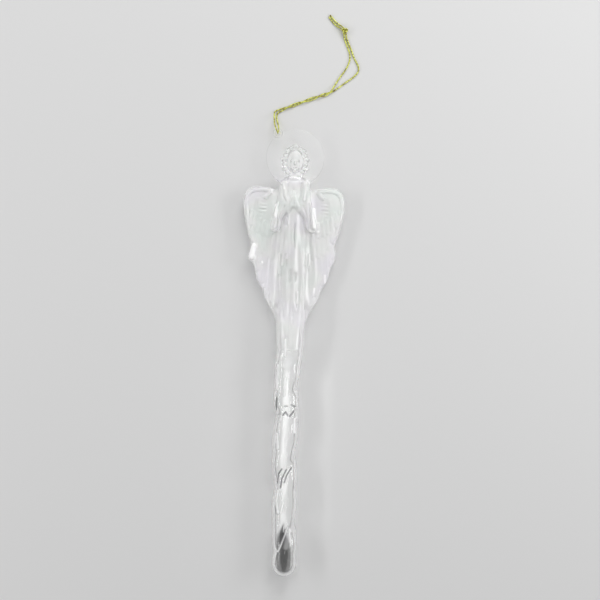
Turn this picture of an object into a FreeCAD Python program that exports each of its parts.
import FreeCAD, Part
import math
import os

# A clear moulded icicle ornament in the shape of an angel, with its hanging thread.
#
# The ornament lies face up: +Y runs along it from the icicle's tip to the halo, +X is
# across the wings and +Z is the side that faces the viewer. The origin is the bottom
# centre of the ornament's box, so that its flat back rests on the plane z = 0.
# The moulding is divided into its sculpted regions, which meet face to face.

V = FreeCAD.Vector

# ---- driving dimensions, millimetres ----
LENGTH = 150.0
TIP_Y = -LENGTH / 2
TOP_Y = LENGTH / 2

SHAFT_RADIUS_TOP = 4.4
SHAFT_RADIUS_END = 4.2
TIP_LENGTH = 9.0
TWIST_PITCH = 23.2
TWIST_PHASE_Y = 7.1          # where the groove crosses the middle of the front
GROOVE_DEPTH = 0.9
GROOVE_SHARPNESS = 3         # higher is a narrower groove
GROOVE_FADE = 5.0            # length over which the groove runs out at each end
SECTIONS_PER_TURN = 12
POINTS_PER_SECTION = 24

HEM_Y = 9.0
WAIST_Y = 38.0
SHOULDER_Y = 58.4

WING_BACK_Z = 2.0
WING_FRONT_Z = 4.2
WING_ROOT_X = 3.5
WING_RIM_WIDTH = 1.1
WING_RELIEF = 0.7
FEATHER_LENGTH = 8.5
FEATHER_WIDTH = 1.9
SCALLOP_BULGE = 0.35

HEAD_CENTRE = V(0, 63.6, 5.4)
HEAD_RADII = (2.85, 4.2, 3.2)
HAIR_CENTRE = V(0, 63.9, 4.7)
HAIR_RADII = (3.8, 4.8, 3.4)
HAIR_FRONT_Z = 6.5
NECK_RADIUS = 1.7
NECK_Z = 4.9

HALO_RADIUS = 9.8
HALO_BACK_Z = 2.2
HALO_THICKNESS = 1.6
EYELET_RADIUS = 1.6
EYELET_HOLE_RADIUS = 0.75
EYELET_CENTRE = V(-6.1, 73.35, HALO_BACK_Z + HALO_THICKNESS / 2)

SLEEVE_FRONT_Z = 8.7
SLEEVE_EDGE_RADIUS = 0.7
HANDS_LOW_Y = 46.9
HANDS_HIGH_Y = 54.5
HANDS_HALF_WIDTH = 1.0
HANDS_FRONT_Z = 9.8

THREAD_DIAMETER = 0.5
KNOT_RADIUS = 1.15
KNOT_CENTRE = V(15.45, 108.5, KNOT_RADIUS)

# Each strand runs from the middle of the eyelet's hole, through the knot, to its cut end.
THREAD_LEG_LEFT = [
    (-6.1, 73.35, 3.0), (-6.1, 73.35, 4.45), (-6.8, 74.95, 4.5), (-7.35, 76.6, 3.4),
    (-7.35, 78.2, 1.75), (-7.55, 79.9, 0.65), (-7.2, 81.05, 0.3), (-6.0, 81.45, 0.28),
    (-5.0, 81.85, 0.35), (-4.0, 82.15, 0.95), (-2.8, 82.3, 0.95), (-1.5, 82.5, 0.35),
    (0.0, 83.25, 0.27), (1.3, 83.75, 0.28), (2.8, 84.85, 0.27), (4.3, 85.55, 0.28),
    (5.4, 85.95, 0.42), (6.5, 86.15, 0.95), (7.7, 86.2, 0.95), (8.9, 86.35, 0.35),
    (10.1, 86.85, 0.36), (11.0, 87.55, 0.95), (11.7, 88.6, 0.95), (12.6, 90.2, 0.36),
    (14.2, 92.9, 0.27), (16.4, 95.9, 0.28), (17.5, 98.8, 0.27), (17.4, 101.0, 0.28),
    (16.45, 103.4, 0.27), (15.45, 105.7, 0.3), (15.2, 107.2, 0.75), (15.0, 108.6, 0.95),
    (13.9, 109.5, 0.7), (12.5, 110.3, 0.28), (11.1, 111.6, 0.27), (9.9, 113.3, 0.28),
]
THREAD_LEG_RIGHT = [
    (-6.1, 73.35, 3.0), (-6.1, 73.35, 1.5), (-5.7, 75.2, 1.25), (-6.2, 76.8, 0.55),
    (-6.65, 78.3, 0.28), (-6.65, 79.6, 0.27), (-6.1, 80.6, 0.28), (-4.9, 81.1, 0.27),
    (-3.4, 82.1, 0.28), (-1.9, 83.15, 0.27), (-0.5, 83.75, 0.28), (0.6, 84.1, 0.42),
    (1.6, 84.2, 0.95), (2.7, 84.35, 0.95), (3.9, 84.6, 0.35), (5.1, 85.05, 0.27),
    (6.3, 85.6, 0.28), (7.8, 86.75, 0.27), (9.1, 87.3, 0.28), (10.5, 87.55, 0.27),
    (12.1, 88.1, 0.28), (14.0, 89.5, 0.27), (16.6, 91.5, 0.28), (19.1, 93.3, 0.27),
    (20.6, 95.2, 0.28), (20.3, 97.2, 0.27), (18.9, 99.3, 0.28), (18.2, 101.3, 0.27),
    (17.2, 103.7, 0.28), (16.15, 106.0, 0.35), (15.9, 107.5, 0.9), (15.6, 108.9, 1.2),
    (14.5, 110.0, 0.8), (13.0, 111.0, 0.3), (11.6, 112.3, 0.27), (10.3, 113.9, 0.28),
]


# ---- helpers ----
def closed_curve(points):
    """A wire of one smooth closed curve through the points."""
    curve = Part.BSplineCurve()
    curve.interpolate(Points=points, PeriodicFlag=True)
    return Part.Wire(curve.toShape())


def oval_section(y, half_width, half_height, centre_z):
    """An oval across the ornament at the station y."""
    steps = range(POINTS_PER_SECTION)
    angles = [2 * math.pi * step / POINTS_PER_SECTION for step in steps]
    return closed_curve([V(half_width * math.sin(a), y, centre_z + half_height * math.cos(a))
                         for a in angles])


def ellipsoid(centre, radii):
    """An ellipsoid with its half axes along X, Y and Z."""
    stretch = FreeCAD.Matrix()
    stretch.scale(*radii)
    shape = Part.makeSphere(1.0).transformGeometry(stretch)
    shape.translate(centre)
    return shape


def carve(shape, *tools):
    """The shape with each tool cut away."""
    for tool in tools:
        shape = shape.cut(tool)
    return shape


def mirrored(shape):
    """The same shape on the other side of the ornament's middle plane."""
    return shape.mirror(V(0, 0, 0), V(1, 0, 0))


def flat_point(x, y):
    return V(x, y, 0)


def prism(edges, back_z, front_z):
    """A plate with a flat outline drawn in the plane z = 0."""
    plate = Part.Face(Part.Wire(edges)).extrude(V(0, 0, front_z - back_z))
    plate.translate(V(0, 0, back_z))
    return plate


def line(start, end):
    return Part.LineSegment(flat_point(*start), flat_point(*end)).toShape()


def arc(start, middle, end):
    return Part.Arc(flat_point(*start), flat_point(*middle), flat_point(*end)).toShape()


def above_floor(shape):
    """The part of a shape above the plane that the ornament rests on."""
    size = 2 * LENGTH
    return shape.cut(Part.makeBox(size, size, size, V(-size / 2, -size / 2, -size)))


# ---- icicle ----
def shaft_radius(y):
    along = (y - TIP_Y - TIP_LENGTH) / (HEM_Y - TIP_Y - TIP_LENGTH)
    return SHAFT_RADIUS_END + (SHAFT_RADIUS_TOP - SHAFT_RADIUS_END) * along


def groove_depth(y):
    """Full depth along the shaft, running out to nothing at both of its ends."""
    from_end = min(y - TIP_Y - TIP_LENGTH, HEM_Y - y)
    share = max(0.0, min(1.0, from_end / GROOVE_FADE))
    return GROOVE_DEPTH * share * share * (3 - 2 * share)


def shaft_section(y):
    """A round section with one soft groove, turned to its place on the twist."""
    radius = shaft_radius(y)
    groove_angle = 2 * math.pi * (y - TWIST_PHASE_Y) / TWIST_PITCH
    points = []
    for step in range(POINTS_PER_SECTION):
        angle = 2 * math.pi * step / POINTS_PER_SECTION
        nearness = ((1 + math.cos(angle - groove_angle)) / 2) ** GROOVE_SHARPNESS
        reach = radius - groove_depth(y) * nearness
        points.append(V(reach * math.sin(angle), y, radius + reach * math.cos(angle)))
    return closed_curve(points)


def icicle_shaft():
    start = TIP_Y + TIP_LENGTH
    count = round((HEM_Y - start) / TWIST_PITCH * SECTIONS_PER_TURN)
    stations = [start + (HEM_Y - start) * step / count for step in range(count + 1)]
    return Part.makeLoft([shaft_section(y) for y in stations], True, False)


def icicle_tip():
    """A short round length that ends in a dome."""
    radius = SHAFT_RADIUS_END
    dome_length = 1.15 * radius
    shoulder_y = TIP_Y + dome_length
    join_y = TIP_Y + TIP_LENGTH
    steps = 6
    angles = [math.pi / 2 * step / steps for step in range(steps + 1)]
    dome = Part.BSplineCurve()
    dome.interpolate([V(radius * math.sin(a), shoulder_y - dome_length * math.cos(a), 0)
                      for a in angles])
    outline = [
        Part.LineSegment(V(0, join_y, 0), V(0, TIP_Y, 0)).toShape(),
        dome.toShape(),
        Part.LineSegment(V(radius, shoulder_y, 0), V(radius, join_y, 0)).toShape(),
        Part.LineSegment(V(radius, join_y, 0), V(0, join_y, 0)).toShape(),
    ]
    tip = Part.Face(Part.Wire(outline)).revolve(V(0, 0, 0), V(0, 1, 0), 360)
    tip.translate(V(0, 0, radius))
    return tip


# ---- gown, arms and head ----
def gown_skirt():
    hem = oval_section(HEM_Y, SHAFT_RADIUS_TOP, SHAFT_RADIUS_TOP, SHAFT_RADIUS_TOP)
    folds = [oval_section(y, half_width, 4.45, 4.05)
             for y, half_width in ((14.0, 4.9), (20.0, 5.5), (27.0, 5.8), (33.0, 5.3))]
    waist = oval_section(WAIST_Y, 4.6, 4.4, 4.0)
    return above_floor(Part.makeLoft([hem] + folds + [waist], True, False))


def gown_bodice():
    stations = ((WAIST_Y, 4.6, 4.4, 4.0), (44.0, 4.45, 4.4, 4.0), (51.0, 4.6, 4.4, 4.0),
                (55.5, 4.5, 4.0, 3.9), (57.4, 3.7, 3.2, 3.8), (SHOULDER_Y, 2.4, 2.3, 3.9))
    return above_floor(Part.makeLoft([oval_section(*s) for s in stations], True, False))


def gown_pleats(skirt):
    """Slim upright folds that stand out from the front of the skirt."""
    folds = []
    for x, low_y, high_y, front_z in ((-3.6, 17.0, 33.5, 8.0), (-1.3, 14.0, 31.0, 8.85),
                                      (1.3, 14.0, 31.0, 8.85), (3.6, 17.0, 33.5, 8.0)):
        middle_y = (low_y + high_y) / 2
        half_width = 0.55
        outline = [arc((x, low_y), (x + half_width, middle_y), (x, high_y)),
                   arc((x, high_y), (x - half_width, middle_y), (x, low_y))]
        folds.append(carve(prism(outline, WING_FRONT_Z, front_z), skirt))
    return Part.makeCompound(folds)


def right_sleeve(bodice):
    """An arm in a bell sleeve: from the shoulder to the hanging cuff and the wrist."""
    outline = [
        arc((2.4, 57.0), (4.5, 57.3), (5.3, 54.8)), line((5.3, 54.8), (5.9, 50.0)),
        line((5.9, 50.0), (7.5, 44.2)), line((7.5, 44.2), (7.9, 41.2)),
        arc((7.9, 41.2), (6.3, 40.1), (4.6, 40.8)), line((4.6, 40.8), (4.2, 44.6)),
        arc((4.2, 44.6), (3.0, 46.9), (1.0, 48.2)), line((1.0, 48.2), (1.0, 50.9)),
        line((1.0, 50.9), (2.6, 53.0)), line((2.6, 53.0), (2.4, 57.0)),
    ]
    sleeve = prism(outline, WING_FRONT_Z, SLEEVE_FRONT_Z)
    front_edges = [edge for edge in sleeve.Edges
                   if edge.BoundBox.ZMin > SLEEVE_FRONT_Z - 0.01]
    return carve(sleeve.makeFillet(SLEEVE_EDGE_RADIUS, front_edges), bodice)


def praying_hands(bodice):
    """Two hands laid together, pointing up, between the ends of the sleeves."""
    low, middle, high = (0, HANDS_LOW_Y), (HANDS_LOW_Y + HANDS_HIGH_Y) / 2, (0, HANDS_HIGH_Y)
    outline = [arc(low, (HANDS_HALF_WIDTH, middle), high),
               arc(high, (-HANDS_HALF_WIDTH, middle), low)]
    return carve(prism(outline, WING_FRONT_Z, HANDS_FRONT_Z), bodice)


def halo_disc():
    return Part.makeCylinder(HALO_RADIUS, HALO_THICKNESS,
                             V(0, TOP_Y - HALO_RADIUS, HALO_BACK_Z))


def eyelet_blank(radius):
    return Part.makeCylinder(radius, HALO_THICKNESS,
                             V(EYELET_CENTRE.x, EYELET_CENTRE.y, HALO_BACK_Z))


def hair():
    cap = ellipsoid(HAIR_CENTRE, HAIR_RADII)
    size = 4 * max(HAIR_RADII)
    return cap.cut(Part.makeBox(size, size, size,
                                V(-size / 2, HAIR_CENTRE.y - size / 2, HAIR_FRONT_Z)))


# ---- wings ----
FEATHER_TIPS = [(14.5, 38.0), (14.2, 33.9), (13.7, 29.8), (12.4, 25.8), (10.8, 22.0),
                (9.0, 18.4), (7.1, 14.9), (5.2, 11.8), (WING_ROOT_X, 9.2)]
LOBE_ARCS = [((7.3, 53.4), (9.6, 55.2), (12.6, 55.35)),
             ((12.6, 55.35), (16.0, 53.3), (17.05, 49.6)),
             ((17.05, 49.6), (16.5, 45.6), (15.4, 42.0))]
LOBE_CENTRE = (10.6, 48.0)


def scallop(start, end):
    """One feather's rounded edge, which stands out between two notches."""
    along = (end[0] - start[0], end[1] - start[1])
    length = math.hypot(*along)
    out = (-along[1] / length, along[0] / length)
    middle = tuple((s + e) / 2 + SCALLOP_BULGE * o for s, e, o in zip(start, end, out))
    return arc(start, middle, end)


def right_wing(bodice, skirt):
    edges = [line((WING_ROOT_X, 53.4), LOBE_ARCS[0][0])]
    edges += [arc(*points) for points in LOBE_ARCS]
    edges.append(line(LOBE_ARCS[-1][2], FEATHER_TIPS[0]))
    edges += [scallop(start, end) for start, end in zip(FEATHER_TIPS, FEATHER_TIPS[1:])]
    edges.append(line(FEATHER_TIPS[-1], (WING_ROOT_X, 53.4)))
    return carve(prism(edges, WING_BACK_Z, WING_FRONT_Z), bodice, skirt)


def towards_lobe_centre(point, distance):
    gap = (LOBE_CENTRE[0] - point[0], LOBE_CENTRE[1] - point[1])
    length = math.hypot(*gap)
    return tuple(p + distance * g / length for p, g in zip(point, gap))


def right_wing_rim():
    """The raised bead round the wing's upper lobe."""
    inner = [[towards_lobe_centre(point, WING_RIM_WIDTH) for point in points]
             for points in LOBE_ARCS]
    outer_edges = [arc(*points) for points in LOBE_ARCS]
    inner_edges = [arc(*points) for points in inner]
    ends = [line(LOBE_ARCS[0][0], inner[0][0]), line(LOBE_ARCS[-1][2], inner[-1][2])]
    outline = Part.sortEdges(outer_edges + inner_edges + ends)[0]
    return prism(outline, WING_FRONT_Z, WING_FRONT_Z + WING_RELIEF)


def right_wing_feathers():
    """Raised feather shafts, one for each rounded edge that has room for it."""
    feathers = []
    for start, end in zip(FEATHER_TIPS[:6], FEATHER_TIPS[1:7]):
        tip = ((start[0] + end[0]) / 2 - 0.6, (start[1] + end[1]) / 2 + 0.6)
        lean = (7.0 - tip[0], 42.0 - tip[1] + 10.0)
        scale = FEATHER_LENGTH / math.hypot(*lean)
        root = (tip[0] + lean[0] * scale, tip[1] + lean[1] * scale)
        side = (-lean[1] * scale / FEATHER_LENGTH, lean[0] * scale / FEATHER_LENGTH)
        sides = [tuple((t + r) / 2 + sign * FEATHER_WIDTH / 2 * s
                       for t, r, s in zip(tip, root, side)) for sign in (1, -1)]
        outline = [arc(tip, sides[0], root), arc(root, sides[1], tip)]
        feathers.append(prism(outline, WING_FRONT_Z, WING_FRONT_Z + WING_RELIEF))
    return Part.makeCompound(feathers)


# ---- hanging thread ----
def tube(route, diameter, name):
    """A round tube on straight runs joined by tangent arcs."""
    points = [V(*point) for point in route]
    edges = []
    start = points[0]
    radii = []
    for before, corner, after in zip(points, points[1:], points[2:]):
        arriving = (corner - before).normalize()
        leaving = (after - corner).normalize()
        half_turn = arriving.getAngle(leaving) / 2
        reach = 0.45 * min((corner - before).Length, (after - corner).Length)
        radii.append(reach / math.tan(half_turn))
        arc_start = corner - arriving * reach
        arc_end = corner + leaving * reach
        inward = (leaving - arriving).normalize()
        depth = radii[-1] * (1 / math.cos(half_turn) - 1)
        edges.append(Part.LineSegment(start, arc_start).toShape())
        edges.append(Part.Arc(arc_start, corner + inward * depth, arc_end).toShape())
        start = arc_end
    edges.append(Part.LineSegment(start, points[-1]).toShape())
    path = Part.Wire(edges)
    ring = Part.Wire(Part.makeCircle(diameter / 2, points[0], points[1] - points[0]))
    solid = path.makePipeShell([ring], True, False)
    expected = math.pi * diameter ** 2 / 4 * path.Length
    print(f"{name}: length {path.Length:.1f}, volume {solid.Volume:.3f} of {expected:.3f}")
    print(f"{name}: arc radii {[round(radius, 2) for radius in radii]}")
    return solid


# ---- assembly ----
def build():
    skirt = gown_skirt()
    bodice = gown_bodice()
    head = ellipsoid(HEAD_CENTRE, HEAD_RADII)
    hair_blank = hair()
    neck_blank = Part.makeCylinder(NECK_RADIUS, HEAD_CENTRE.y - SHOULDER_Y,
                                   V(0, SHOULDER_Y - 0.6, NECK_Z), V(0, 1, 0))
    neck = carve(neck_blank, bodice, hair_blank, head)
    eyelet = carve(eyelet_blank(EYELET_RADIUS), eyelet_blank(EYELET_HOLE_RADIUS))
    halo = carve(halo_disc(), eyelet_blank(EYELET_RADIUS), bodice, hair_blank, neck)
    sleeve = right_sleeve(bodice)
    wing = right_wing(bodice, skirt)
    rim = right_wing_rim()
    feathers = right_wing_feathers()
    left_strand = tube(THREAD_LEG_LEFT, THREAD_DIAMETER, "thread_leg_left")
    right_strand = tube(THREAD_LEG_RIGHT, THREAD_DIAMETER, "thread_leg_right")
    knot = carve(Part.makeSphere(KNOT_RADIUS, KNOT_CENTRE), left_strand, right_strand)
    return {
        "icicle_shaft": icicle_shaft(),
        "icicle_tip": icicle_tip(),
        "gown_skirt": skirt,
        "gown_pleats": gown_pleats(skirt),
        "gown_bodice": bodice,
        "left_sleeve": mirrored(sleeve),
        "right_sleeve": sleeve,
        "praying_hands": praying_hands(bodice),
        "neck": neck,
        "head": head,
        "hair": carve(hair_blank, head),
        "halo_disc": halo,
        "hanging_eyelet": eyelet,
        "left_wing": mirrored(wing),
        "right_wing": wing,
        "left_wing_rim": mirrored(rim),
        "right_wing_rim": rim,
        "left_wing_feathers": mirrored(feathers),
        "right_wing_feathers": feathers,
        "thread_leg_left": left_strand,
        "thread_leg_right": right_strand,
        "thread_knot": knot,
    }


os.makedirs("parts", exist_ok=True)
for node, shape in build().items():
    print(node, "solids", len(shape.Solids), "valid", shape.isValid(),
          "volume", round(shape.Volume, 2))
    shape.exportStep(f"parts/{node}.step")
